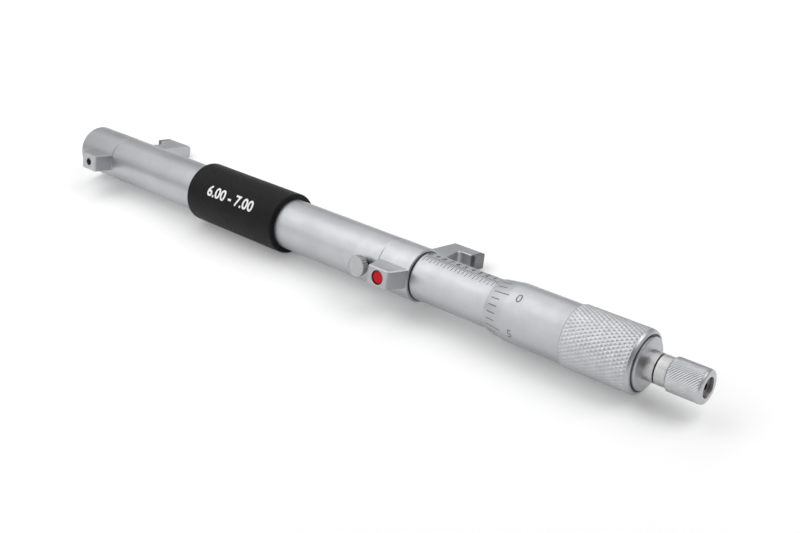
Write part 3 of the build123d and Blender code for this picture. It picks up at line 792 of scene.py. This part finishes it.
def make_knob():
    """Ratchet knob: plain neck, finely knurled band, rounded end and a deep recess."""
    neck = KNOB_NECK_DIAMETER / 2
    band = KNOB_DIAMETER / 2
    corners = [
        (KNOB_LEFT, KNOB_BORE / 2, 0), (KNOB_LEFT, neck, 0.12),
        (KNOB_BAND_LEFT, neck, 0), (KNOB_BAND_LEFT + 0.5, band, 0.1),
    ]
    step_length = -KNOB_PITCH / KNOB_STEPS_PER_PITCH
    corners += spread(KNOB_BAND_LEFT + 0.7, KNOB_RIGHT - KNOB_CHAMFER, band, step_length)
    corners += [
        (KNOB_RIGHT - 0.3, band - 0.1, 0.5), (KNOB_RIGHT, band - 0.75, 0.3),
        (KNOB_RIGHT, KNOB_RECESS / 2, 0.15),
        (KNOB_RECESS_FLOOR, KNOB_RECESS / 2, 0), (KNOB_RECESS_FLOOR, SCREW_HOLE / 2, 0),
        (KNOB_RECESS_FLOOR - KNOB_WALL, SCREW_HOLE / 2, 0),
        (KNOB_RECESS_FLOOR - KNOB_WALL, KNOB_BORE / 2, 0),
    ]
    body = turned(softened(corners), KNOB_TEETH * SEGMENTS_PER_TOOTH)
    values = {
        "Left": KNOB_BAND_LEFT + 0.2, "Right": KNOB_RIGHT - KNOB_CHAMFER + 0.1,
        "Radius": band, "Depth": KNOB_KNURL_DEPTH, "Teeth": float(KNOB_TEETH),
        "Pitch": KNOB_PITCH,
        "Crossing": 0.35, "Top": 0.9, "Material": FINISHES["knurled_steel"],
    }
    body = grown(body, KNURL_TREE, values)
    for face in body.polygons:
        if face.center.x < KNOB_BAND_LEFT:
            face.material_index = 1
    add_piece("knob_body", body, "ratchet",
              ["knurled_steel", "polished_steel"], ["ratchet_knob"])


def make_lock_screw():
    """Thumb lock screw: a round face inside a low rim, and a coarse straight knurl."""
    head = LOCK_DIAMETER / 2
    corners = [
        (LOCK_STEM_START, 0, 0), (LOCK_STEM_START, LOCK_STEM / 2, 0.1),
        (LOCK_BASE, LOCK_STEM / 2, 0), (LOCK_BASE, head - 0.3, 0), (LOCK_BASE + 0.3, head, 0),
    ]
    corners += spread(LOCK_BASE + 0.5, LOCK_FRONT - 0.6, head, 0.3)
    corners += [
        (LOCK_FRONT - 0.15, head, 0), (LOCK_FRONT, head - 0.15, 0.05),
        (LOCK_FRONT, head - 0.4, 0.02), (LOCK_FRONT - 0.1, head - 0.55, 0.05),
        (LOCK_FRONT - 0.1, 0, 0),
    ]
    body = turned(softened(corners), LOCK_TEETH * LOCK_SEGMENTS_PER_TOOTH)
    values = {
        "Left": LOCK_BASE + 0.1, "Right": LOCK_FRONT - 0.05, "Radius": head,
        "Depth": LOCK_KNURL_DEPTH, "Teeth": float(LOCK_TEETH), "Pitch": STRAIGHT,
        "Crossing": 0.0, "Top": 0.85, "Material": FINISHES["satin_steel"],
    }
    body = grown(body, KNURL_TREE, values)
    # The stem takes the dark finish, as painted shade in the hole under the head.
    for face in body.polygons:
        if face.center.x < LOCK_BASE - 0.01:
            face.material_index = 1
    outwards = Matrix(((0, 1, 0, LOCK_X), (-1, 0, 0, 0), (0, 0, 1, 0), (0, 0, 0, 1)))
    body.transform(outwards)
    add_piece("lock_knob", body, "lock_screw",
              ["turned_steel", "blackened_steel"], ["lock_screw"])


def make_sleeve_ring():
    """The bright bevelled edge next to the right jaw, and the seam that follows it, painted dark
    as painted shade.
    """
    left = (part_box("sleeve_ring")[0].x - seam.x) / MM
    bore = SLEEVE_RADIUS + 0.01
    corners = [
        (left, bore, 0), (left, RING_DIAMETER / 2, 0), (left + RING_EDGE, RING_DIAMETER / 2, 0),
        (left + RING_BEVEL, SEAM_DIAMETER / 2, 0), (left + SEAM_END, SEAM_DIAMETER / 2, 0.04),
        (left + SEAM_END, bore, 0),
    ]
    body = turned(softened(corners), RING_SEGMENTS)
    # The bevel takes the second finish; the rest is the seam's painted shade.
    for face in body.polygons:
        x, y, z = face.center
        if left + 0.001 < x < left + RING_BEVEL + 0.001 and math.hypot(y, z) > bore + 0.1:
            face.material_index = 1
    add_piece("seam_ring", body, "frame",
              ["dark_ring", "turned_steel"], ["sleeve_ring"])


def make_sleeve_scale():
    """Forty divisions to the inch that hang from a line, with figures above it."""
    values = {
        "Step": -TRAVEL / SLEEVE_DIVISIONS, "Count": SLEEVE_DIVISIONS + 1,
        "Middle Every": 2, "Long Every": 4, "Width": SLEEVE_MARK_WIDTH,
        "Thickness": MARK_THICKNESS, "Material": FINISHES["black_fill"],
        **SLEEVE_MARK_LENGTHS,
    }
    empty = bpy.data.meshes.new("empty")
    marks = grown(empty, SCALE_TREE, values)
    # The line is one mark as wide as the travel
    values.update({"Count": 1, "Long": DATUM_WIDTH, "Width": TRAVEL})
    line = grown(empty, SCALE_TREE, values)
    parts = [
        wrapped(marks, THIMBLE_LEFT, SCALE_TURN, SLEEVE_RADIUS),
        wrapped(line, THIMBLE_LEFT - TRAVEL / 2, SCALE_TURN, SLEEVE_RADIUS),
    ]
    turn = SCALE_TURN + SLEEVE_FIGURE_RISE / SLEEVE_RADIUS
    for number in range(TENTHS + 1):
        place = THIMBLE_LEFT - TRAVEL * number / TENTHS
        figure = figures(str(number % TENTHS), SLEEVE_FIGURE_HEIGHT)
        parts.append(wrapped(figure, place, turn, SLEEVE_RADIUS))
    add_piece("sleeve_scale", joined(parts), "frame", ["black_fill"])


def make_thimble_scale():
    """Twenty-five divisions on the bevel, with figures at every fifth on the barrel."""
    edge = THIMBLE_BORE / 2 + THIMBLE_LIP
    barrel = THIMBLE_DIAMETER / 2
    values = {
        "Step": -math.tau * edge / THIMBLE_DIVISIONS, "Count": THIMBLE_DIVISIONS,
        "Middle Every": THIMBLE_FIGURED, "Long Every": THIMBLE_FIGURED,
        "Width": THIMBLE_MARK_WIDTH, "Thickness": MARK_THICKNESS,
        "Material": FINISHES["black_fill"], **THIMBLE_MARK_LENGTHS,
    }
    marks = grown(bpy.data.meshes.new("empty"), SCALE_TREE, values)
    # The tree's marks stand across the axis, and here they lie along it
    marks.transform(Matrix.Translation((THIMBLE_MARK_START, 0, 0))
                    @ Matrix.Rotation(math.pi / 2, 4, "Z"))
    slope = (barrel - edge) / BEVEL_LENGTH
    parts = [wrapped(marks, THIMBLE_LEFT, ZERO_TURN, edge, slope)]
    for number in range(0, THIMBLE_DIVISIONS, THIMBLE_FIGURED):
        turn = ZERO_TURN - math.tau * number / THIMBLE_DIVISIONS
        figure = figures(str(number), THIMBLE_FIGURE_HEIGHT)
        figure = wrapped(figure, THIMBLE_FIGURE_PLACE, turn, barrel)
        for face in figure.polygons:
            face.material_index = 1
        parts.append(figure)
    add_piece("thimble_scale", joined(parts), "thimble",
              ["black_fill", "grey_fill"])


def make_grip_figures():
    """The measuring range in plain white figures."""
    low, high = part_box("grip_band")
    middle = ((low.x + high.x) / 2 - seam.x) / MM
    radius = (high.z - low.z) / 2 / MM
    figure = figures(GRIP_TEXT, GRIP_FIGURE_HEIGHT, GRIP_FIGURE_BOLD)
    figure = wrapped(figure, middle, GRIP_FIGURE_TURN, radius)
    add_piece("grip_figures", figure, "frame", ["white_print"])


make_thimble()
make_knob()
make_lock_screw()
make_sleeve_ring()
make_sleeve_scale()
make_thimble_scale()
make_grip_figures()


def make_floor():
    """A pale floor that reads white to the camera and keeps the shadow. Its glow is seen by
    the camera and in the metal but lights nothing, and rises away from the object, where the
    lamps don't reach."""
    bpy.ops.mesh.primitive_plane_add(size=FLOOR_SIZE)
    floor = bpy.context.object
    floor.name = "floor"
    look = Shading("floor", (FLOOR_GREY, FLOOR_GREY, FLOOR_GREY), 0.0, 0.9)
    look.constant(Specular_IOR_Level=0.0, Emission_Color=(1, 1, 1, 1))
    tree = look.material.node_tree
    path = look.nodes.new("ShaderNodeLightPath").outputs
    mirrored = maths(tree, "MAXIMUM", path["Is Glossy Ray"], path["Is Transmission Ray"])
    seen = maths(tree, "MAXIMUM", path["Is Camera Ray"], mirrored)
    distance = vector_maths(tree, "LENGTH", look.place)
    glow = look.ranged(distance, *GLOW_RISE, FLOOR_GLOW, FAR_FLOOR_GLOW, "SMOOTHSTEP")
    strength = maths(tree, "MULTIPLY", seen, glow)
    look.links.new(strength, look.shader.inputs["Emission Strength"])
    floor.data.materials.append(look.material)


def add_softbox(name, place, power):
    """A soft square lamp that looks at the object."""
    lamp = bpy.data.lights.new(name, "AREA")
    lamp.shape = "SQUARE"
    lamp.size = SOFTBOX_SIZE
    lamp.energy = power
    carrier = bpy.data.objects.new(name, lamp)
    bpy.context.scene.collection.objects.link(carrier)
    carrier.location = place
    carrier.rotation_mode = "QUATERNION"
    carrier.rotation_quaternion = (-Vector(place)).to_track_quat("-Z", "Y")


def make_light():
    """A grey room with soft lamps that all look at the object."""
    world = bpy.data.worlds.new("studio")
    bpy.context.scene.world = world
    world.use_nodes = True
    background = world.node_tree.nodes["Background"]
    background.inputs["Color"].default_value = (ROOM_GREY, ROOM_GREY, ROOM_GREY, 1)
    background.inputs["Strength"].default_value = 1.0
    for name, (place, power) in SOFTBOXES.items():
        add_softbox(name, place, power)


def make_camera():
    """The photograph's viewpoint: above, in front and to the ratchet's side."""
    camera = bpy.data.cameras.new("camera")
    camera.lens = CAMERA_LENS
    camera.sensor_width = SENSOR_WIDTH
    carrier = bpy.data.objects.new("camera", camera)
    bpy.context.scene.collection.objects.link(carrier)
    turn = INSTRUMENT.to_3x3().normalized()
    look = turn @ CAMERA_LOOK
    above = turn @ CAMERA_UP
    aim = Matrix((look.cross(above), above, -look)).transposed().to_4x4()
    carrier.matrix_world = Matrix.Translation(INSTRUMENT @ CAMERA_PLACE) @ aim
    bpy.context.scene.camera = carrier


make_floor()
make_light()
make_camera()
bpy.context.scene.view_settings.view_transform = "Standard"
